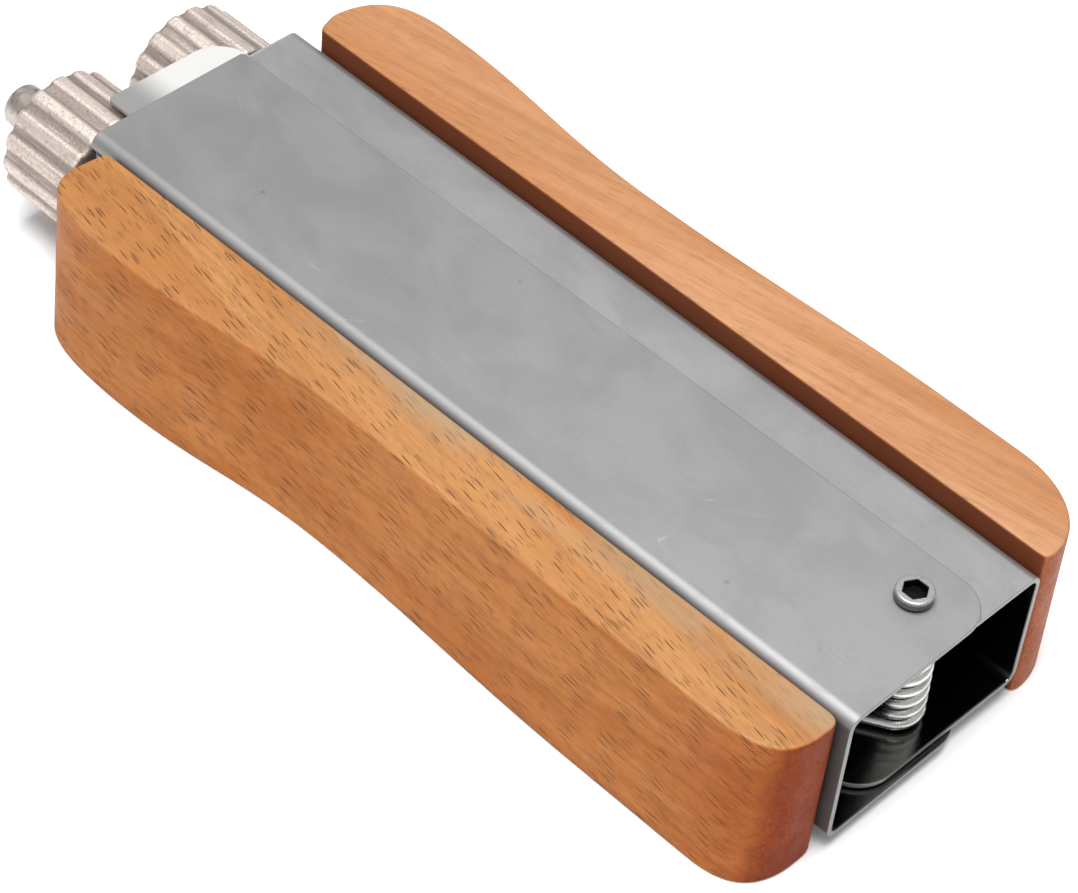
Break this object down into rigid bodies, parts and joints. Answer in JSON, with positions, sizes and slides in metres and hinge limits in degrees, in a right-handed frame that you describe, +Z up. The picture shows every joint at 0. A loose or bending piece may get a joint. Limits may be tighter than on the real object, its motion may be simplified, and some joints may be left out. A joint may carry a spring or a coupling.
{
  "type": "frame wire crimper",
  "caption": "Squeezed hand tool: two nested steel channels hinged at the rear, wooden grips on the outsides, and toothed wheels at the front that crimp a wire passed between them.",
  "frame": {"origin": "under the middle of the tool's bounding box, at the level of the handles' undersides", "axes": "+X along the tool from the pivot to the wheels, +Y to the side of the outer channel, +Z up through the top plates"},
  "size_m": [0.1644, 0.07, 0.0269],
  "materials": {
    "sheet_steel": "satin rolled sheet with faint smudges and bright folds",
    "beech": "oiled beech with short dark flecks along the grain",
    "wheel_metal": "rough, faintly warm plated metal",
    "zinc_steel": "bright zinc plate",
    "dark_steel": "dull brownish steel",
    "spring_wire": "bright drawn wire"
  },
  "bodies": {
    "left_jaw": {"outer_channel": "sheet_steel", "left_handle": "beech", "pivot_screw": "zinc_steel", "pivot_nut": "zinc_steel", "torsion_spring": "spring_wire", "left_handle_screw_rear": "zinc_steel", "left_handle_screw_front": "zinc_steel", "left_axle_screw": "dark_steel", "left_axle_nut": "zinc_steel", "left_axle_bush": "spring_wire", "left_rear_washer": "zinc_steel", "left_front_washer": "zinc_steel"},
    "right_jaw": {"inner_channel": "sheet_steel", "right_handle": "beech", "right_handle_screw_rear": "zinc_steel", "right_handle_screw_front": "zinc_steel", "right_axle_screw": "dark_steel", "right_axle_nut": "zinc_steel", "right_axle_bush": "spring_wire", "right_rear_washer": "zinc_steel", "right_front_washer": "zinc_steel"},
    "left_wheel": {"left_wheel": "wheel_metal"},
    "right_wheel": {"right_wheel": "wheel_metal"}
  },
  "joints": [
    {"name": "jaw_pivot", "type": "hinge", "parent": "left_jaw", "child": "right_jaw", "pos_m": [-0.0739, -0.00125, 0.0137], "axis": [0, 0, 1], "range_deg": [0, 1.05], "stiffness_Nm_per_rad": 6, "springref_deg": -3.44, "deforming": ["torsion_spring"]},
    {"name": "left_wheel_spin", "type": "hinge", "parent": "left_jaw", "child": "left_wheel", "pos_m": [0.067, 0.01375, 0.01265], "axis": [1, 0, 0], "continuous": true},
    {"name": "right_wheel_spin", "type": "hinge", "parent": "right_jaw", "child": "right_wheel", "pos_m": [0.06693, -0.00958, 0.01265], "axis": [1, -0.0087, 0], "continuous": true}
  ],
  "couplings": [
    {"joint": "right_wheel_spin", "follows": "left_wheel_spin", "ratio": -1}
  ]
}
